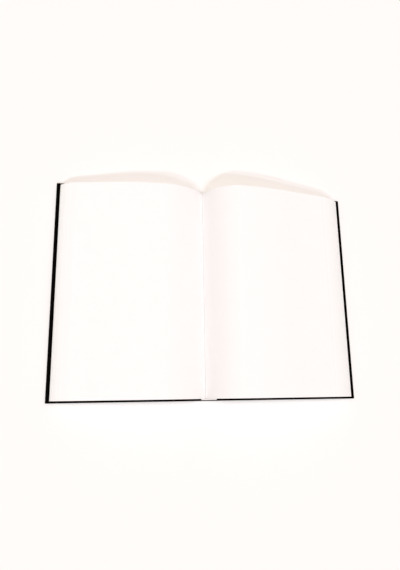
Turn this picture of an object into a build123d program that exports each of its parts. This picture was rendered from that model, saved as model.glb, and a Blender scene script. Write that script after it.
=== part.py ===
"""An open hardcover notebook, lying face up: one block of pages in a cloth-covered case.

Millimetres. X runs across the spread, +Y towards the head of the pages, +Z up.
The origin is on the table, under the middle of the open case. The front cover is on the left.
"""

import os

from build123d import *

# Leaves
page_width = 140.0
page_height = 210.0

# Boards and the case around them
board_thickness = 2.0
cloth_thickness = 0.4
fore_edge_square = 3.0
head_square = 2.0
joint_width = 6.0
turn_in = 14.0
hinge_gap = 0.3

# Spine of the case and back of the pages
spine_width = 16.0
strip_thickness = 1.0
lining_thickness = 0.3
lining_inset = 0.5
shoulder_run = 1.8
band_radius = 1.2

# Endpapers, and the air between the covers and the pages
endpaper_thickness = 0.2
page_clearance = 0.3

# Top of the open pages, as heights over the table and distances from the fold
fold_offset = -3.2
fold_height = 3.2
left_crown_reach = 40.0
left_crown_height = 25.8
left_edge_height = 13.4
left_edge_bevel = 12.0
left_edge_bulge = 0.8
right_crown_reach = 30.5
right_crown_height = 33.0
right_edge_height = 19.4
right_edge_bevel = 27.0
right_edge_bulge = 3.0

# How the leaves roll out of the fold, as shares of the way from fold to crown and from crown to edge
roll_lean = 0.2
roll_rise = 0.8
crown_spread = 0.1
slope_spread = 0.43
edge_slope = 0.17

# Levels over the table
board_floor = cloth_thickness
board_top = board_floor + board_thickness
turn_in_top = board_top + cloth_thickness
endpaper_top = turn_in_top + endpaper_thickness
page_floor = endpaper_top + page_clearance
strip_top = cloth_thickness + strip_thickness
spine_turn_in_top = strip_top + cloth_thickness
lining_top = spine_turn_in_top + lining_thickness

# Places across the spread and along the pages
half_spine = spine_width / 2
board_start = half_spine + joint_width
board_width = page_width + fore_edge_square - joint_width - cloth_thickness
board_end = board_start + board_width
cover_end = board_end + cloth_thickness
page_end = half_spine + page_width
hinge_place = half_spine + joint_width / 2
hinge_height = cloth_thickness / 2
half_page = page_height / 2
cover_height = page_height + 2 * head_square
board_height = cover_height - 2 * cloth_thickness
half_lining = half_spine - lining_inset


def top_of_leaf(side, crown_reach, crown_height, edge_height, edge_bevel):
    """Draw the top leaf of one stack, from the fold over its crown to its fore-edge."""
    crown = fold_offset + side * crown_reach
    edge = side * (page_end - edge_bevel)
    rise = crown_height - fold_height
    run = abs(edge - crown)
    Bezier(
        (fold_offset, fold_height),
        (fold_offset + side * roll_lean * crown_reach, fold_height + roll_rise * rise),
        (crown - side * crown_spread * crown_reach, crown_height),
        (crown, crown_height),
    )
    Bezier(
        (crown, crown_height),
        (crown + side * slope_spread * run, crown_height),
        (edge - side * slope_spread * run, edge_height + edge_slope * slope_spread * run),
        (edge, edge_height),
    )
    return edge


def cover_board(side):
    """Make the stiff board of one cover."""
    with BuildPart() as board:
        with BuildSketch(Plane.XY.offset(board_floor)):
            with Locations((side * (board_start + board_width / 2), 0)):
                Rectangle(board_width, board_height)
        extrude(amount=board_thickness)
    return board.part


def cover_cloth(side):
    """Make the cloth of one cover: outer sheet, three wrapped edges, turn-ins and the hinge strip."""
    hinge_start = hinge_place + hinge_height + hinge_gap
    hinge_run = board_start - hinge_start
    window_width = board_width - turn_in
    with BuildPart() as cloth:
        with BuildSketch():
            with Locations((side * (board_start + cover_end) / 2, 0)):
                Rectangle(cover_end - board_start, cover_height)
        extrude(amount=turn_in_top)
        with BuildSketch(Plane.XY.offset(board_floor)):
            with Locations((side * (board_start + board_width / 2), 0)):
                Rectangle(board_width, board_height)
        extrude(amount=board_thickness, mode=Mode.SUBTRACT)
        with BuildSketch(Plane.XY.offset(board_top)):
            with Locations((side * (board_start + window_width / 2), 0)):
                Rectangle(window_width, board_height - 2 * turn_in)
        extrude(amount=cloth_thickness, mode=Mode.SUBTRACT)
        with BuildSketch():
            with Locations((side * (hinge_start + hinge_run / 2), 0)):
                Rectangle(hinge_run, cover_height)
        extrude(amount=cloth_thickness)
    return cloth.part


def pastedown(side):
    """Make the endpaper half glued inside one cover, pressed down between the turn-ins."""
    sheet_width = page_end - board_start
    window_width = board_width - turn_in
    window_height = board_height - 2 * turn_in
    with BuildPart() as sheet:
        with BuildSketch(Plane.XY.offset(turn_in_top)):
            with Locations((side * (board_start + sheet_width / 2), 0)):
                Rectangle(sheet_width, page_height)
        extrude(amount=endpaper_thickness)
        with BuildSketch(Plane.XY.offset(board_top)):
            with Locations((side * (board_start + window_width / 2), 0)):
                Rectangle(window_width, window_height)
        extrude(amount=cloth_thickness)
        dip_width = window_width - endpaper_thickness
        with BuildSketch(Plane.XY.offset(endpaper_top)):
            with Locations((side * (board_start + dip_width / 2), 0)):
                Rectangle(dip_width, window_height - 2 * endpaper_thickness)
        extrude(amount=-cloth_thickness, mode=Mode.SUBTRACT)
    return sheet.part


def end_band(end):
    """Make the rolled band on the back of the pages, at the head (end 1) or the tail (end -1)."""
    middle = lining_top + band_radius
    with BuildPart() as band:
        with BuildSketch(Plane.YZ):
            with BuildLine():
                Line((end * half_page, lining_top), (end * half_page, middle + band_radius))
                ThreePointArc(
                    (end * half_page, middle + band_radius),
                    (end * (half_page + band_radius), middle),
                    (end * half_page, lining_top),
                )
            make_face()
        extrude(amount=half_lining, both=True)
    return band.part


def save(piece, name):
    """Name a finished piece and write it."""
    piece.label = name
    export_step(piece, f"parts/{name}.step")


os.makedirs("parts", exist_ok=True)

# Pages: one open block, rolled out of the fold to both sides, with fanned fore-edges
with BuildPart() as pages:
    with BuildSketch(Plane.XZ):
        with BuildLine():
            right_edge = top_of_leaf(
                1, right_crown_reach, right_crown_height, right_edge_height, right_edge_bevel
            )
            SagittaArc((page_end, page_floor), (right_edge, right_edge_height), -right_edge_bulge)
            Polyline(
                (page_end, page_floor),
                (half_lining + shoulder_run, page_floor),
                (half_lining, lining_top),
                (-half_lining, lining_top),
                (-half_lining - shoulder_run, page_floor),
                (-page_end, page_floor),
            )
            left_edge = top_of_leaf(
                -1, left_crown_reach, left_crown_height, left_edge_height, left_edge_bevel
            )
            SagittaArc((-page_end, page_floor), (left_edge, left_edge_height), left_edge_bulge)
        make_face()
    extrude(amount=half_page, both=True)
save(pages.part, "pages")

# Lining: the strip glued over the back of the pages
with BuildPart() as spine_lining:
    with BuildSketch(Plane.XY.offset(spine_turn_in_top)):
        Rectangle(2 * half_lining, page_height)
    extrude(amount=lining_thickness)
save(spine_lining.part, "spine_lining")

# Spine strip: the stiff card inside the spine of the case
with BuildPart() as spine_strip:
    with BuildSketch(Plane.XY.offset(cloth_thickness)):
        Rectangle(spine_width, board_height)
    extrude(amount=strip_thickness)
save(spine_strip.part, "spine_strip")

# Spine cloth: from hinge line to hinge line, wrapped over both ends of the strip
with BuildPart() as spine_cloth:
    with BuildSketch(Plane.XZ):
        with Locations((0, hinge_height)):
            SlotCenterToCenter(2 * hinge_place, cloth_thickness)
    extrude(amount=cover_height / 2, both=True)
    with BuildSketch(Plane.XY.offset(cloth_thickness)):
        Rectangle(spine_width, cover_height)
    extrude(amount=strip_thickness + cloth_thickness)
    with BuildSketch(Plane.XY.offset(cloth_thickness)):
        Rectangle(spine_width, board_height)
    extrude(amount=strip_thickness, mode=Mode.SUBTRACT)
    with BuildSketch(Plane.XY.offset(strip_top)):
        Rectangle(spine_width, board_height - 2 * turn_in)
    extrude(amount=cloth_thickness, mode=Mode.SUBTRACT)
save(spine_cloth.part, "spine_cloth")

# Bands at both ends of the back of the pages
for name, end in (("head_band", 1), ("tail_band", -1)):
    save(end_band(end), name)

# Covers: front on the left, back on the right
for name, side in (("front", -1), ("back", 1)):
    save(cover_board(side), f"{name}_board")
    save(cover_cloth(side), f"{name}_cloth")
    save(pastedown(side), f"{name}_pastedown")
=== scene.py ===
# %% [markdown]
# This lesson dresses an open hardcover notebook that lies face up on a table.
# The frame holds its true sizes: a block of pages in a cloth-covered case, with two covers that swing on
# cloth hinges. Everything below is drawn in that frame, in metres, so each piece already sits in its place.
# X runs across the spread, Y towards the head of the pages and Z up.

import math
import random

import bmesh
import bpy
from mathutils import Euler, Matrix, Vector
from mathutils.geometry import interpolate_bezier


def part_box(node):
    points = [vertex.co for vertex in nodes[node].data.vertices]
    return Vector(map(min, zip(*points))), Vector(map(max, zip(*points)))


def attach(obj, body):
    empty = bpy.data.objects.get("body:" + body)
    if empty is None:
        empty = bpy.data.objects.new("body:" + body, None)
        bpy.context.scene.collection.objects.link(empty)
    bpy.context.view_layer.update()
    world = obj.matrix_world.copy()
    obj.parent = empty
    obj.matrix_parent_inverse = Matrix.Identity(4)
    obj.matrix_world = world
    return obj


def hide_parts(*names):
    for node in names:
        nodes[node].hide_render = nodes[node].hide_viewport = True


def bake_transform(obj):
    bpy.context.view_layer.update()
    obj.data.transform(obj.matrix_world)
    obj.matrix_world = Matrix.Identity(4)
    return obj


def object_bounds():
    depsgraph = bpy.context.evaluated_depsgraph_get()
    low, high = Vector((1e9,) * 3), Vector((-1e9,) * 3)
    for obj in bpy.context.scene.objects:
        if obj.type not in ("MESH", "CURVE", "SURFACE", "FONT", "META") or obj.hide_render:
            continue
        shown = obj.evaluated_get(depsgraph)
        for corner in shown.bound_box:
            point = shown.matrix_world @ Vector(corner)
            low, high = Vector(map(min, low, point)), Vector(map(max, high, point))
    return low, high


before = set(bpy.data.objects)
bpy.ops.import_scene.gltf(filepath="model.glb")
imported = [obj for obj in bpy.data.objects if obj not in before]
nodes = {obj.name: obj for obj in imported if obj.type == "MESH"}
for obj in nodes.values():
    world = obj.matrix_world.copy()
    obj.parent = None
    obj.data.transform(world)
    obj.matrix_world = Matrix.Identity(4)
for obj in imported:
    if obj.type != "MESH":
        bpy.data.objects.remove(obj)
cad_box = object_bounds()
MM = 0.001
dice = random.Random(11)
print("frame:", len(nodes), "nodes, box", [round(side / MM, 1) for side in cad_box[1] - cad_box[0]], "mm")

# %% [markdown]
# The photo looks almost straight down on the book, from over the lower edge of its left page. A camera
# is placed by hand or by a constraint that tracks a target. Here its place and turn were worked out from
# the edges and corners of the case, so plain numbers hold the view best.

# %% Camera
camera_place = Vector((-98.7, -102.1, 471.9)) * MM
camera_turn_degrees = (12.98, -10.87, -0.84)
camera_lens = 30.75
sensor_long_side = 36.0

camera_data = bpy.data.cameras.new("camera")
camera_data.sensor_width = sensor_long_side
camera_data.lens = camera_lens
camera_data.clip_start = 10 * MM
camera = bpy.data.objects.new("camera", camera_data)
camera.location = camera_place
camera.rotation_euler = Euler([math.radians(turn) for turn in camera_turn_degrees])
bpy.context.scene.collection.objects.link(camera)
bpy.context.scene.camera = camera
print("camera at", [round(place / MM) for place in camera.location], "mm")

# %% [markdown]
# Paper looks plain, but it is a felt of fibres: a fine tooth that catches the light, and soft clouds
# where the sheet is a little thicker. A photo texture could hold that, but two noises of the right
# scale do it everywhere, with no seams. Paper, cut edges, board, thread and table all share this group.
# Two helpers come first: one adds a shader node with its settings, the other starts a group.

# %% Helpers for node groups
def add_node(tree, kind, settings=None, **options):
    """Add a shader node, set its options and the values of its named inputs."""
    node = tree.nodes.new(kind)
    for option, value in options.items():
        setattr(node, option, value)
    for socket, value in (settings or {}).items():
        node.inputs[socket].default_value = value
    return node


def new_group(name, inputs, outputs):
    """Start a node group with number inputs and number outputs, and return it with its two end nodes."""
    group = bpy.data.node_groups.new(name, "ShaderNodeTree")
    for socket, value in inputs.items():
        made = group.interface.new_socket(socket, in_out="INPUT", socket_type="NodeSocketFloat")
        made.default_value = value
    for socket in outputs:
        group.interface.new_socket(socket, in_out="OUTPUT", socket_type="NodeSocketFloat")
    return group, group.nodes.new("NodeGroupInput"), group.nodes.new("NodeGroupOutput")


print("helpers for node groups ready")

# %% Paper fibre group
fibre_group, fibre_in, fibre_out = new_group(
    "paper_fibre",
    {"Tooth Scale": 2600, "Cloud Scale": 70, "Cloud Share": 0.5},
    ("Tone", "Height"),
)
fibre_place = fibre_group.nodes.new("ShaderNodeTexCoord")
tooth = add_node(fibre_group, "ShaderNodeTexNoise", {"Detail": 4, "Roughness": 0.65, "Distortion": 0.6})
cloud = add_node(fibre_group, "ShaderNodeTexNoise", {"Detail": 3, "Roughness": 0.5})
fibre_mix = fibre_group.nodes.new("ShaderNodeMix")
fibre_links = fibre_group.links
for noise, scale in ((tooth, "Tooth Scale"), (cloud, "Cloud Scale")):
    fibre_links.new(fibre_place.outputs["Object"], noise.inputs["Vector"])
    fibre_links.new(fibre_in.outputs[scale], noise.inputs["Scale"])
fibre_links.new(fibre_in.outputs["Cloud Share"], fibre_mix.inputs["Factor"])
fibre_links.new(tooth.outputs["Fac"], fibre_mix.inputs["A"])
fibre_links.new(cloud.outputs["Fac"], fibre_mix.inputs["B"])
fibre_links.new(fibre_mix.outputs["Result"], fibre_out.inputs["Tone"])
fibre_links.new(tooth.outputs["Fac"], fibre_out.inputs["Height"])
print("group:", fibre_group.name)

# %% [markdown]
# Book cloth and the gauze on the spine are plain weaves: warp and weft threads that pass over and under
# each other. Two crossed Wave textures give the threads, and their product rises where two threads cross.
# A little distortion keeps the threads from looking printed.

# %% Thread weave group
def add_math(tree, operation, *values):
    """Add a Math node and return its result. Each value is a plain number or a socket."""
    node = add_node(tree, "ShaderNodeMath", operation=operation)
    for socket, value in zip(node.inputs, values):
        if isinstance(value, float):
            socket.default_value = value
        else:
            tree.links.new(value, socket)
    return node.outputs["Value"]


weave_group, weave_in, weave_out = new_group(
    "thread_weave",
    {"Thread Scale": 600, "Slub Scale": 180},
    ("Height", "Slub"),
)
weave_place = weave_group.nodes.new("ShaderNodeTexCoord")
weave_links = weave_group.links
warp = add_node(weave_group, "ShaderNodeTexWave", {"Distortion": 0.5, "Detail": 1}, bands_direction="X")
weft = add_node(weave_group, "ShaderNodeTexWave", {"Distortion": 0.5, "Detail": 1}, bands_direction="Y")
slub = add_node(weave_group, "ShaderNodeTexNoise", {"Detail": 3, "Roughness": 0.6})
for texture, scale in ((warp, "Thread Scale"), (weft, "Thread Scale"), (slub, "Slub Scale")):
    weave_links.new(weave_place.outputs["Object"], texture.inputs["Vector"])
    weave_links.new(weave_in.outputs[scale], texture.inputs["Scale"])
threads = add_math(weave_group, "MULTIPLY", warp.outputs["Fac"], weft.outputs["Fac"])
weave_links.new(threads, weave_out.inputs["Height"])
weave_links.new(slub.outputs["Fac"], weave_out.inputs["Slub"])
print("group:", weave_group.name)

# %% [markdown]
# The pages are a smooth, blank, slightly pink white. Most finishes here work alike: the tone of a group
# mixes two colours, and its height gives the relief. The flat of a leaf and its cut edge differ in
# roughness and gloss, so they are two finishes, and each leaf of the cut edge has a tone of its own, which
# the mesh carries as an attribute. The cut edge is also a little lighter than the flat: painted light that
# evens out the shade on the fanned fore-edges.

# %% Helpers for finishes
def new_finish(name, roughness, specular):
    """Start a material and return it with its node tree and its Principled shader."""
    material = bpy.data.materials.new(name)
    material.use_nodes = True
    shader = material.node_tree.nodes["Principled BSDF"]
    shader.inputs["Roughness"].default_value = roughness
    shader.inputs["Specular IOR Level"].default_value = specular
    return material, material.node_tree, shader


def place_group(tree, group, settings):
    """Place a node group in a material with its own values."""
    node = tree.nodes.new("ShaderNodeGroup")
    node.node_tree = group
    for socket, value in settings.items():
        node.inputs[socket].default_value = value
    return node


def mix_colours(tree, mask, first, second):
    """Mix two colours by a mask that changes over the surface. Each is a plain colour or a socket."""
    mix = tree.nodes.new("ShaderNodeMix")
    mix.data_type = "RGBA"
    tree.links.new(mask, mix.inputs["Factor"])
    for socket, colour in (("A", first), ("B", second)):
        if isinstance(colour, tuple):
            mix.inputs[socket].default_value = (*colour, 1)
        else:
            tree.links.new(colour, mix.inputs[socket])
    return mix.outputs["Result"]


def add_bump(tree, shader, height, strength, depth):
    """Feed a height into the shader's normal through a Bump node."""
    bump = add_node(tree, "ShaderNodeBump", {"Strength": strength, "Distance": depth})
    tree.links.new(height, bump.inputs["Height"])
    tree.links.new(bump.outputs["Normal"], shader.inputs["Normal"])


def textured_finish(name, group, settings, tone, colours, roughness, specular, strength, depth):
    """Make a finish from a group: one output mixes a dark and a light colour, its height is the relief."""
    material, tree, shader = new_finish(name, roughness, specular)
    texture = place_group(tree, group, settings)
    tree.links.new(mix_colours(tree, texture.outputs[tone], *colours), shader.inputs["Base Color"])
    add_bump(tree, shader, texture.outputs["Height"], strength, depth)
    return material


print("helpers for finishes ready")

# %% Page finishes
LEAF_TONE = "leaf_tone"


def page_finish(name, dark, light, tooth_depth):
    """Make a paper finish from the fibre group."""
    return textured_finish(
        name, fibre_group, {"Cloud Share": 0.7}, "Tone", (dark, light),
        roughness=0.8, specular=0.25, strength=0.25, depth=tooth_depth,
    )


def cut_edge_finish(name, dark, light):
    """Make the finish of cut leaves: each leaf has its own tone."""
    material, tree, shader = new_finish(name, roughness=0.85, specular=0.2)
    tone = add_node(tree, "ShaderNodeAttribute", attribute_name=LEAF_TONE)
    tree.links.new(mix_colours(tree, tone.outputs["Fac"], dark, light), shader.inputs["Base Color"])
    fibre = place_group(tree, fibre_group, {"Tooth Scale": 4000})
    add_bump(tree, shader, fibre.outputs["Height"], strength=0.2, depth=0.03 * MM)
    return material


page_paper = page_finish(
    "page_paper", dark=(0.93, 0.922, 0.927), light=(0.96, 0.952, 0.957), tooth_depth=0.04 * MM
)
# Painted light: the cut edges are a little lighter than the page paper, to even out the shade on the fanned
# fore-edges.
cut_edges = cut_edge_finish("cut_edges", dark=(0.935, 0.93, 0.93), light=(0.965, 0.96, 0.96))
end_paper = page_finish(
    "end_paper", dark=(0.84, 0.81, 0.77), light=(0.89, 0.86, 0.82), tooth_depth=0.06 * MM
)
print("finishes:", page_paper.name, cut_edges.name, end_paper.name)

# %% [markdown]
# The case is covered in black book cloth, with a faint brown where its rims are rubbed and a greyer
# outside, where it is handled. Distance from the rims can be painted as an attribute, but on a flat cover
# it is simply how far a point is from the outer lines of the case, and the outside is the sheet that lies
# lowest. So the material works out both masks from its own coordinates.

# %% Rim wear group
rim_group, rim_in, rim_out = new_group(
    "rim_wear",
    {
        "Reach Across": cad_box[1].x,
        "Reach Along": cad_box[1].y,
        "Rim Width": 1.5 * MM,
        "Outer Sheet": 0.4 * MM,
    },
    ("Mask", "Outside"),
)
rim_place = rim_group.nodes.new("ShaderNodeTexCoord")
rim_axes = rim_group.nodes.new("ShaderNodeSeparateXYZ")
rim_links = rim_group.links
rim_links.new(rim_place.outputs["Object"], rim_axes.inputs["Vector"])
rim_distances = []
for axis, reach in (("X", "Reach Across"), ("Y", "Reach Along")):
    place = add_math(rim_group, "ABSOLUTE", rim_axes.outputs[axis])
    rim_distances.append(add_math(rim_group, "SUBTRACT", rim_in.outputs[reach], place))
nearest = add_math(rim_group, "MINIMUM", *rim_distances)
for distance, width, mask in (
    (nearest, "Rim Width", "Mask"),
    (rim_axes.outputs["Z"], "Outer Sheet", "Outside"),
):
    fade = add_node(rim_group, "ShaderNodeMapRange", {"To Min": 1, "To Max": 0})
    rim_links.new(distance, fade.inputs["Value"])
    rim_links.new(rim_in.outputs[width], fade.inputs["From Max"])
    rim_links.new(fade.outputs["Result"], rim_out.inputs[mask])
print("group:", rim_group.name)

# %% [markdown]
# The black of the case is two blacks, inside and outside, each with lighter threads, and the rubbed rims on
# top. Gauze, board and thread need no masks: the gauze is an open weave, the board has dark flecks, and the
# thread of the bands is a natural white with fine strands.

# %% Cloth, thread and board finishes
inside_blacks = ((0.0004, 0.0002, 0.0002), (0.0022, 0.0011, 0.0012))
outside_blacks = ((0.010, 0.009, 0.009), (0.034, 0.030, 0.030))
rubbed_brown = (0.012, 0.007, 0.007)


def book_cloth_finish():
    """Make the black cloth of the case: greyer outside, where it is handled, and rubbed along its rims."""
    material, tree, shader = new_finish("book_cloth", roughness=0.65, specular=0.018)
    weave = place_group(tree, weave_group, {"Thread Scale": 620, "Slub Scale": 240})
    rim = place_group(tree, rim_group, {})
    height = weave.outputs["Height"]
    inside = mix_colours(tree, height, *inside_blacks)
    outside = mix_colours(tree, height, *outside_blacks)
    black = mix_colours(tree, rim.outputs["Outside"], inside, outside)
    rubbed = add_math(tree, "MULTIPLY", rim.outputs["Mask"], weave.outputs["Slub"])
    tree.links.new(mix_colours(tree, rubbed, black, rubbed_brown), shader.inputs["Base Color"])
    add_bump(tree, shader, height, strength=0.5, depth=0.08 * MM)
    return material


book_cloth = book_cloth_finish()
lining_cloth = textured_finish(
    "lining_cloth", weave_group, {"Thread Scale": 260, "Slub Scale": 120}, "Height",
    ((0.55, 0.50, 0.43), (0.86, 0.82, 0.75)),
    roughness=0.9, specular=0.2, strength=0.8, depth=0.15 * MM,
)
grey_board = textured_finish(
    "grey_board", fibre_group, {"Tooth Scale": 1200, "Cloud Scale": 260}, "Tone",
    ((0.16, 0.15, 0.13), (0.42, 0.40, 0.36)),
    roughness=0.9, specular=0.2, strength=0.5, depth=0.1 * MM,
)
band_thread = textured_finish(
    "band_thread", fibre_group, {"Tooth Scale": 5200, "Cloud Scale": 900}, "Tone",
    ((0.84, 0.81, 0.77), (0.93, 0.91, 0.88)),
    roughness=0.65, specular=0.3, strength=0.4, depth=0.05 * MM,
)
print("finishes:", book_cloth.name, lining_cloth.name, grey_board.name, band_thread.name)

# %% [markdown]
# The pages are leaves that leave the back side by side, roll out of the fold and come down on the covers.
# The top leaf's line and the fanned fore-edge are read from the frame with rays, so that the leaves fill
# the same form. Every leaf between is a blend of the lowest line and the top line.

# %% Lines of the lowest and the top leaf
pages = nodes["pages"]
pages_low, pages_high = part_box("pages")
half_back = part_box("spine_lining")[1].x
page_end = pages_high.x
back_height = pages_low.z
half_page = pages_high.y
fan_run = {-1: 12.0 * MM, 1: 27.0 * MM}
leaf_count = {-1: 30, 1: 78}
search_step = 0.05 * MM
search_reach = 12 * MM
line_steps = 400
ray_start = 1.0
shoulder_slope = 1.5


def top_height(across):
    """Height of the pages at a place across the spread."""
    return pages.ray_cast(Vector((across, 0, ray_start)), Vector((0, 0, -1)))[1].z


def fore_edge(side, height):
    """Place of the fanned fore-edge at a height."""
    return pages.ray_cast(Vector((side * ray_start, 0, height)), Vector((-side, 0, 0)))[1].x


def spread(start, end, count):
    """Evenly spaced numbers from start to end."""
    return [start + (end - start) * step / count for step in range(count + 1)]


search_count = round(2 * search_reach / search_step)
fold = min(spread(-search_reach, search_reach, search_count), key=top_height)
page_floor = pages.ray_cast(Vector((page_end / 2, 0, -ray_start)), Vector((0, 0, 1)))[1].z
shoulder = shoulder_slope * (page_floor - back_height)
left_share = leaf_count[-1] / (leaf_count[-1] + leaf_count[1])
fold_root = half_back * (2 * left_share - 1)


def top_line(side):
    """The top leaf, from the back up to the fold and over its crown to the fore-edge."""
    rolled = [Vector((across, top_height(across)))
              for across in spread(fold, side * (page_end - fan_run[side]), line_steps)]
    return [Vector((fold_root, back_height)), *rolled]


def lowest_line(side):
    """The lowest leaf, over the shoulder of the back and flat along the cover."""
    return [
        Vector((side * half_back, back_height)),
        Vector((side * (half_back + shoulder), page_floor)),
        Vector((side * page_end, page_floor)),
    ]


print("fold at", round(fold / MM, 2), "mm, leaves stand on", round(page_floor / MM, 2), "mm")

# %% Lines of the leaves between
leaf_points = 46
root_crowding = 1.7


def walk(line, shares):
    """Points on a line at the given shares of its length."""
    reach = [0.0]
    for start, end in zip(line, line[1:]):
        reach.append(reach[-1] + (end - start).length)
    points = []
    span = 0
    for share in shares:
        goal = share * reach[-1]
        while span < len(line) - 2 and reach[span + 1] < goal:
            span += 1
        part = (goal - reach[span]) / (reach[span + 1] - reach[span])
        points.append(line[span].lerp(line[span + 1], part))
    return points


leaf_shares = [(step / leaf_points) ** root_crowding for step in range(leaf_points + 1)]
lowest = {side: walk(lowest_line(side), leaf_shares) for side in (-1, 1)}
topmost = {side: walk(top_line(side), leaf_shares) for side in (-1, 1)}


def leaf_line(side, level, pull):
    """The line of a leaf at a level from 0, lowest, to 1, top, drawn back at its fore-edge by pull."""
    line = [low.lerp(high, level) for low, high in zip(lowest[side], topmost[side])]
    edge_height = min(max(line[-1].y, page_floor + search_step), topmost[side][-1].y - search_step)
    bulge = fore_edge(side, edge_height) - line[-1].x - side * pull
    return [point + Vector((bulge * share ** 2, 0)) for point, share in zip(line, leaf_shares)]


print("each leaf line has", len(leaf_shares), "points")

# %% [markdown]
# Each modelled layer stands for a leaf or two that lie together. Its lower and upper lines are bridged
# and the strip is extruded from tail to head, so a layer is a closed sheet with real cut edges.
# Small steps at the fore-edge, head and tail, thin gaps between the layers and wider ones between the
# sewn sections draw the fine lines that a block of leaves shows on its cut faces. The leaves stop a little
# short at the fore-edges, so that the black margins of the covers show, and their heads lean back towards
# the top leaf. A helper turns a finished bmesh into an object at the origin, here and for later pieces.

# %% Helper for pieces
SMOOTH_ANGLE = math.radians(35)


def new_piece(name, mesh, *materials):
    """Turn a finished bmesh into an object at the origin, with smooth faces and sharp corners."""
    bmesh.ops.recalc_face_normals(mesh, faces=mesh.faces)
    data = bpy.data.meshes.new(name)
    mesh.to_mesh(data)
    mesh.free()
    data.shade_smooth()
    data.set_sharp_from_angle(angle=SMOOTH_ANGLE)
    for material in materials:
        data.materials.append(material)
    piece = bpy.data.objects.new(name, data)
    bpy.context.scene.collection.objects.link(piece)
    return piece


print("faces meet sharply past", round(math.degrees(SMOOTH_ANGLE)), "degrees")

# %% Leaves
section_leaves = 6
section_sway = 0.5
leaf_gap = 0.05
leaf_gap_range = (0.6, 1.6)
section_gap = 0.15
edge_step = 0.14 * MM
end_step = 0.14 * MM
head_inset = 1.1 * MM
fore_edge_inset = {-1: 0.75 * MM, 1: 0.3 * MM}
PAGE_FACE, CUT_FACE = 0, 1


def chain(mesh, line, along):
    """Draw a line of edges across the spread."""
    points = [mesh.verts.new((point.x, along, point.y)) for point in line]
    return [mesh.edges.new(pair) for pair in zip(points, points[1:])]


def add_layer(mesh, lower, upper, tail, head):
    """Bridge two leaf lines at the tail, draw the strip out to the head and mark its cut faces."""
    first_face = len(mesh.faces)
    edges = chain(mesh, lower, tail) + chain(mesh, upper, tail)
    strip = bmesh.ops.bridge_loops(mesh, edges=edges)["faces"]
    drawn = bmesh.ops.extrude_face_region(mesh, geom=strip)["geom"]
    moved = [part for part in drawn if isinstance(part, bmesh.types.BMVert)]
    bmesh.ops.translate(mesh, verts=moved, vec=(0, head - tail, 0))
    mesh.faces.ensure_lookup_table()
    for face in mesh.faces[first_face:]:
        face.material_index = CUT_FACE
    for face in {face for edge in edges for face in edge.link_faces} - set(strip):
        face.material_index = PAGE_FACE


def add_leaves(mesh, side):
    """Lay the leaves of one side from the cover up, with their own tones and steps."""
    tones = mesh.verts.layers.float.get(LEAF_TONE) or mesh.verts.layers.float.new(LEAF_TONE)
    count = leaf_count[side]
    section_shift = 0.0
    for leaf in range(count):
        starts_section = leaf % section_leaves == 0
        if starts_section:
            section_shift = dice.uniform(-section_sway, section_sway)
        ends_section = (leaf + 1) % section_leaves == 0
        gap = section_gap if ends_section else leaf_gap * dice.uniform(*leaf_gap_range)
        is_top = leaf == count - 1
        if is_top:
            gap = 0
        pull = fore_edge_inset[side] + (0 if is_top else edge_step * dice.random())
        trim = end_step * (1 + section_shift + dice.random()) / 2
        inset = head_inset * (leaf + 1) / count
        lower = leaf_line(side, leaf / count, pull)
        upper = leaf_line(side, (leaf + 1 - gap) / count, pull)
        first = len(mesh.verts)
        add_layer(mesh, lower, upper, trim - half_page, half_page - inset - trim)
        mesh.verts.ensure_lookup_table()
        tone = dice.random()
        for point in mesh.verts[first:]:
            point[tones] = tone


leaves_mesh = bmesh.new()
for side in (-1, 1):
    add_leaves(leaves_mesh, side)
leaves = new_piece("leaves", leaves_mesh, page_paper, cut_edges)
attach(leaves, "block")
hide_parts("pages")
print("leaves:", sum(leaf_count.values()), "layers,", len(leaves.data.polygons), "faces")

# %% [markdown]
# A cover is a board with cloth wrapped round three of its edges and turned in on its inner side.
# A box with rounded rims is the outside of that cloth. Its inner side and its hinge side are opened between
# the turn-ins, and Solidify gives the skin the thickness of cloth, so the board fits inside.

# %% Helpers for folded cloth
cloth_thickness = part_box("front_board")[0].z
turn_in = 14.0 * MM
rim_radius = 0.6 * MM
rim_segments = 4
same_direction = 0.99


def box_mesh(low, high):
    """A box between two corners."""
    mesh = bmesh.new()
    bmesh.ops.create_cube(mesh, size=1)
    bmesh.ops.scale(mesh, verts=mesh.verts, vec=high - low)
    bmesh.ops.translate(mesh, verts=mesh.verts, vec=(low + high) / 2)
    return mesh


def round_edges(mesh, edges, radius):
    """Round some edges of a mesh."""
    bmesh.ops.bevel(
        mesh, geom=edges, offset=radius, segments=rim_segments, profile=0.5, affect="EDGES", material=-1
    )


def face_towards(mesh, direction):
    """The largest face that looks in a direction."""
    facing = [face for face in mesh.faces if face.normal.dot(Vector(direction)) > same_direction]
    return max(facing, key=lambda face: face.calc_area())


def open_face(mesh, face):
    """Take a face away and leave its edges."""
    bmesh.ops.delete(mesh, geom=[face], context="FACES_ONLY")


def cut_face(mesh, face, place, direction):
    """Cut one face along a plane."""
    parts = [face, *face.edges, *face.verts]
    bmesh.ops.bisect_plane(mesh, geom=parts, plane_co=place, plane_no=direction)


def cut_turn_ins(mesh, direction, reach):
    """Cut the face that looks in a direction where the turn-ins from head and tail end."""
    for end in (-1, 1):
        cut_face(mesh, face_towards(mesh, direction), (0, end * (reach - turn_in), 0), (0, 1, 0))


def thicken(piece, thickness, offset):
    """Give a skin its thickness: offset -1 grows inwards, 1 outwards and 0 both ways."""
    solidify = piece.modifiers.new("thickness", "SOLIDIFY")
    solidify.thickness = thickness
    solidify.offset = offset
    solidify.use_even_offset = True


print("cloth of", round(cloth_thickness / MM, 2), "mm, turned in by", round(turn_in / MM, 1), "mm")

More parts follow.
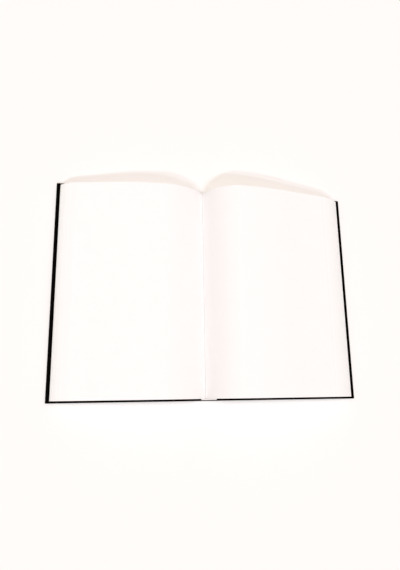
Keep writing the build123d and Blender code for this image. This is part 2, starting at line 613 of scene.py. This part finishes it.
# %% Cover cloth
def cover_cloth(name, side):
    """Wrap one cover board: drawn on the right, and mirrored for the left."""
    cloth_low, cloth_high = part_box("back_cloth")
    board_low, board_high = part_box("back_board")
    mesh = box_mesh(Vector((board_low.x - cloth_thickness, cloth_low.y, cloth_low.z)), cloth_high)
    rims = [edge for edge in mesh.edges
            if max(point.co.x for point in edge.verts) > board_low.x + search_step]
    round_edges(mesh, rims, rim_radius)
    cut_face(mesh, face_towards(mesh, (0, 0, 1)), (board_high.x - turn_in, 0, 0), (1, 0, 0))
    for direction in ((-1, 0, 0), (0, 0, 1)):
        cut_turn_ins(mesh, direction, board_high.y)
        open_face(mesh, face_towards(mesh, direction))
    bmesh.ops.scale(mesh, verts=mesh.verts, vec=(side, 1, 1))
    piece = new_piece(f"{name}_cover_cloth", mesh, book_cloth)
    thicken(piece, cloth_thickness, -1)
    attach(piece, f"{name}_cover")
    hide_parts(f"{name}_cloth")
    return piece


COVERS = (("front", -1), ("back", 1))
for name, side in COVERS:
    made = cover_cloth(name, side)
    print(made.name, "with", len(made.data.polygons), "faces before its thickness")

# %% [markdown]
# Over the spine the same cloth lies flat, and is folded over both ends of the card strip inside.
# Beside it the cloth is the hinge itself: thin and folded back at its ends.
# One function makes both: a low box, rounded at head and tail and opened along its top between the
# turn-ins. Its two sides are opened as well, but on the spine they stay at the turn-ins, where the cloth
# wraps the card.

# %% Spine cloth and hinges
spine_low, spine_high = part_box("spine_cloth")
strip_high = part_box("spine_strip")[1]
board_hinge = abs(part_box("front_board")[1].x)
hem_height = 2 * cloth_thickness
hem_rounding = 0.48
hinge_overlap = 0.3 * MM
hinge_bends = 15


def folded_strip(name, start, end, height, has_sides):
    """Cloth between two places across the spread, folded back at head and tail, with sides or without."""
    mesh = box_mesh(Vector((start, spine_low.y, 0)), Vector((end, spine_high.y, height)))
    ends = [edge for edge in mesh.edges
            if abs(edge.verts[0].co.y - edge.verts[1].co.y) < search_step
            and abs(edge.verts[0].co.z - edge.verts[1].co.z) < search_step]
    round_edges(mesh, ends, min(rim_radius, hem_rounding * height))
    for direction in ((-1, 0, 0), (1, 0, 0)):
        if has_sides:
            cut_turn_ins(mesh, direction, strip_high.y)
        open_face(mesh, face_towards(mesh, direction))
    cut_turn_ins(mesh, (0, 0, 1), strip_high.y)
    open_face(mesh, face_towards(mesh, (0, 0, 1)))
    crossing = [edge for edge in mesh.edges
                if abs(edge.verts[0].co.x - edge.verts[1].co.x) > (end - start) / 2]
    bmesh.ops.subdivide_edges(mesh, edges=crossing, cuts=hinge_bends, use_grid_fill=True)
    piece = new_piece(name, mesh, book_cloth)
    thicken(piece, cloth_thickness, -1)
    return piece


wrapped_half = strip_high.x + cloth_thickness
spine_cover = folded_strip("spine_cover_cloth", -wrapped_half, wrapped_half, spine_high.z, has_sides=True)
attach(spine_cover, "block")
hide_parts("spine_cloth")
for name, side in COVERS:
    start, end = sorted((side * (strip_high.x - hinge_overlap), side * (board_hinge + hinge_overlap)))
    hinge = folded_strip(f"{name}_hinge_cloth", start, end, hem_height, has_sides=False)
    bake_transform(hinge)
    print(hinge.name, "bends from", round(start / MM, 1), "to", round(end / MM, 1), "mm")

# %% [markdown]
# The endpaper is glued to the inside of the cover and pressed down between the turn-ins, so their edge
# shows through it as a soft step. A flat sheet is cut along that step and its inner part is lowered. The
# sheet starts at the wrapped hinge edge of the board, and stops as far short of head and fore-edge as the
# top leaf does, so the leaves hide it.

# %% Endpapers
endpaper_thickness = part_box("back_pastedown")[1].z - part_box("back_cloth")[1].z
step_width = 1.2 * MM
step_cuts = 6


def ease(share):
    """A soft step from 0 to 1."""
    share = min(max(share, 0), 1)
    return share * share * (3 - 2 * share)


def endpaper(name, side):
    """Glue a sheet inside one cover, pressed down between the turn-ins."""
    sheet_low, sheet_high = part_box("back_pastedown")
    low = sheet_low - Vector((cloth_thickness + endpaper_thickness, 0, 0))
    high = sheet_high - Vector((fore_edge_inset[side], head_inset, 0))
    board_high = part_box("back_board")[1]
    window_end = board_high.x - turn_in
    window_half = board_high.y - turn_in
    mesh = bmesh.new()
    bmesh.ops.create_grid(mesh, x_segments=1, y_segments=1, size=0.5)
    bmesh.ops.scale(mesh, verts=mesh.verts, vec=(high.x - low.x, high.y - low.y, 1))
    bmesh.ops.translate(mesh, verts=mesh.verts, vec=((low.x + high.x) / 2, (low.y + high.y) / 2, high.z))
    for inset in spread(0, step_width, step_cuts):
        planes = [((window_end - inset, 0, 0), (1, 0, 0))]
        planes += [((0, end * (window_half - inset), 0), (0, 1, 0)) for end in (-1, 1)]
        for place, direction in planes:
            parts = mesh.verts[:] + mesh.edges[:] + mesh.faces[:]
            bmesh.ops.bisect_plane(mesh, geom=parts, plane_co=place, plane_no=direction)
    for point in mesh.verts:
        inside = min(window_end - point.co.x, window_half - abs(point.co.y))
        point.co.z -= cloth_thickness * ease(inside / step_width)
    bmesh.ops.scale(mesh, verts=mesh.verts, vec=(side, 1, 1))
    piece = new_piece(f"{name}_endpaper", mesh, end_paper)
    thicken(piece, endpaper_thickness, -1)
    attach(piece, f"{name}_cover")
    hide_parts(f"{name}_pastedown")
    return piece


for name, side in COVERS:
    made = endpaper(name, side)
    print(made.name, "with", len(made.data.polygons), "faces")

# %% [markdown]
# Between cover and pages the endpaper dips into the hinge groove. Paper bends there when a cover swings, so
# the dip has some length to spare. A Bezier curve draws the dip.

# %% Endpaper folds
dip_points = 14
dip_height = 0.2 * MM
page_handle = 1.0 * MM
cover_handle = 1.4 * MM
paper_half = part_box("front_pastedown")[1].y


def endpaper_fold(name, side):
    """Bridge the groove between one cover and the pages with paper."""
    page_edge = Vector((side * (half_back + shoulder), page_floor - endpaper_thickness, 0))
    cover_reach = board_hinge - cloth_thickness - endpaper_thickness / 2
    cover_edge = Vector((side * cover_reach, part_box(f"{name}_board")[1].z, 0))
    knots = (
        page_edge,
        Vector((page_edge.x + side * page_handle, dip_height, 0)),
        Vector((cover_edge.x - side * cover_handle, dip_height, 0)),
        cover_edge,
    )
    line = [point.xy for point in interpolate_bezier(*knots, dip_points)]
    mesh = bmesh.new()
    drawn = bmesh.ops.extrude_edge_only(mesh, edges=chain(mesh, line, -paper_half))["geom"]
    moved = [part for part in drawn if isinstance(part, bmesh.types.BMVert)]
    bmesh.ops.translate(mesh, verts=moved, vec=(0, 2 * paper_half - head_inset, 0))
    piece = new_piece(f"{name}_endpaper_fold", mesh, end_paper)
    thicken(piece, endpaper_thickness, 0)
    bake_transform(piece)
    return piece


for name, side in COVERS:
    made = endpaper_fold(name, side)
    print(made.name, "with", len(made.data.polygons), "faces before its thickness")

# %% [markdown]
# At head and tail a band of thread is rolled over the back of the pages. A half-round profile is
# extruded across the back, one half turn of thread at a time, thinner between the turns. The head band is
# deeper, because it reaches inwards to the leaves that lean back there.

# %% Bands
thread_turns = 26
valley_share = 0.9
arc_steps = 10


def end_band(name, end, inset):
    """Roll a band of thread along one end of the back."""
    low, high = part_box(name)
    radius = (high.z - low.z) / 2
    depth = high.y - low.y + inset
    centre = Vector((low.x, end * (half_page - inset), low.z + radius))
    mesh = bmesh.new()
    arc = [mesh.verts.new(centre + Vector((0, end * depth * math.sin(turn), radius * math.cos(turn))))
           for turn in spread(0, math.pi, arc_steps)]
    cap = [mesh.faces.new(arc)]
    about_centre = Matrix.Translation(-centre)
    bmesh.ops.scale(mesh, verts=arc, vec=(1, valley_share, valley_share), space=about_centre)
    half_turn = (high.x - low.x) / (2 * thread_turns)
    for step in range(2 * thread_turns):
        drawn = bmesh.ops.extrude_face_region(mesh, geom=cap)["geom"]
        cap = [part for part in drawn if isinstance(part, bmesh.types.BMFace)]
        ring = [part for part in drawn if isinstance(part, bmesh.types.BMVert)]
        bmesh.ops.translate(mesh, verts=ring, vec=(half_turn, 0, 0))
        share = 1 / valley_share if step % 2 == 0 else valley_share
        bmesh.ops.scale(mesh, verts=ring, vec=(1, share, share), space=about_centre)
    piece = new_piece(f"{name}_roll", mesh, band_thread)
    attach(piece, "block")
    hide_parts(name)
    return piece


for name, end, inset in (("head_band", 1, head_inset), ("tail_band", -1, 0)):
    made = end_band(name, end, inset)
    print(made.name, "with", thread_turns, "turns")

# %% [markdown]
# Board, spine strip and lining have their true shape in the frame already, so they only get a finish.

# %% Finishes of the frame's own pieces
for name, finish in (
    ("front_board", grey_board),
    ("back_board", grey_board),
    ("spine_strip", grey_board),
    ("spine_lining", lining_cloth),
):
    nodes[name].data.materials.clear()
    nodes[name].data.materials.append(finish)
    print(name, "is", finish.name)

# %% [markdown]
# The book lies on a plain pale table. A table top has no thickness here, and it is made see-through from
# its underside with the Backfacing output, so the outside of the covers can be looked at from below. Short
# rays pass too, with the Ray Length output, so that the table doesn't darken the cloth that lies on it.

# %% Table
table_reach = 4.0
table_gap = 0.02 * MM
short_ray = 8 * MM
table_dark = (0.92, 0.92, 0.92)
table_light = (0.93, 0.93, 0.93)


def mix_shaders(tree, mask, first, second, output):
    """Mix two shaders by a mask and send the result to the end of the tree."""
    mix = tree.nodes.new("ShaderNodeMixShader")
    for socket, source in zip(mix.inputs, (mask, first, second)):
        tree.links.new(source, socket)
    tree.links.new(mix.outputs["Shader"], tree.nodes[output].inputs["Surface"])


floor_mesh = bmesh.new()
bmesh.ops.create_grid(floor_mesh, x_segments=1, y_segments=1, size=table_reach)
bmesh.ops.translate(floor_mesh, verts=floor_mesh.verts, vec=(0, 0, -table_gap))
floor_finish, floor_tree, floor_shader = new_finish("pale_table", roughness=0.9, specular=0.1)
floor_fibre = place_group(floor_tree, fibre_group, {"Tooth Scale": 900, "Cloud Scale": 6})
floor_tree.links.new(
    mix_colours(floor_tree, floor_fibre.outputs["Tone"], table_dark, table_light),
    floor_shader.inputs["Base Color"],
)
seen_side = add_node(floor_tree, "ShaderNodeNewGeometry")
ray = add_node(floor_tree, "ShaderNodeLightPath")
see_through = add_node(floor_tree, "ShaderNodeBsdfTransparent")
from_cover = add_math(floor_tree, "LESS_THAN", ray.outputs["Ray Length"], short_ray)
passes = add_math(floor_tree, "MAXIMUM", seen_side.outputs["Backfacing"], from_cover)
mix_shaders(
    floor_tree, passes, floor_shader.outputs["BSDF"], see_through.outputs["BSDF"], output="Material Output"
)
floor = new_piece("table", floor_mesh, floor_finish)
print("table:", floor.name, "with", floor_finish.name)

# %% [markdown]
# Most of the light is warm and wide: a ceiling light, a weaker window on the left and the walls of a
# bright room. Two weak cooler lamps shine from the tail side, a little from the right and from the left.
# They throw the double shadows of the arched pages on the table past the head. Suns are used, because
# their rays stay parallel. One more shines from below, for the outside of the covers, and only the camera
# sees the backdrop.

# %% Lamps
warm_light = (1.0, 0.908, 0.842)


def add_sun(name, azimuth, elevation, softness, strength, colour):
    """A distant lamp: azimuth 0 shines from the tail side, and softness is its width in degrees."""
    data = bpy.data.lights.new(name, "SUN")
    data.energy = strength
    data.angle = math.radians(softness)
    data.color = colour
    lamp = bpy.data.objects.new(name, data)
    turn, rise = math.radians(azimuth), math.radians(elevation)
    towards = Vector((math.sin(turn) * math.cos(rise), -math.cos(turn) * math.cos(rise), math.sin(rise)))
    lamp.rotation_euler = towards.to_track_quat("Z", "Y").to_euler()
    bpy.context.scene.collection.objects.link(lamp)
    print(name, "of strength", strength)


add_sun("right_lamp", azimuth=11.2, elevation=48.9, softness=1.0, strength=0.424, colour=(0.66, 0.72, 1.0))
add_sun("left_lamp", azimuth=-9.9, elevation=45.0, softness=1.0, strength=0.538, colour=(0.76, 0.95, 1.0))
add_sun("ceiling_light", azimuth=0, elevation=90, softness=40, strength=1.581, colour=warm_light)
add_sun("window_light", azimuth=-90, elevation=70, softness=50, strength=0.514, colour=warm_light)
add_sun("under_light", azimuth=0, elevation=-80, softness=60, strength=2.0, colour=warm_light)

# %% Room
room_strength = 0.296
backdrop_colour = (0.80, 0.78, 0.76)

world = bpy.data.worlds.new("bright_room")
bpy.context.scene.world = world
world.use_nodes = True
room_tree = world.node_tree
room_light = room_tree.nodes["Background"]
room_light.inputs["Color"].default_value = (*warm_light, 1)
room_light.inputs["Strength"].default_value = room_strength
backdrop = add_node(room_tree, "ShaderNodeBackground", {"Color": (*backdrop_colour, 1)})
seen_by = add_node(room_tree, "ShaderNodeLightPath")
mix_shaders(
    room_tree,
    seen_by.outputs["Is Camera Ray"],
    room_light.outputs["Background"],
    backdrop.outputs["Background"],
    output="World Output",
)
bpy.context.scene.view_settings.view_transform = "Standard"
print("room:", world.name)
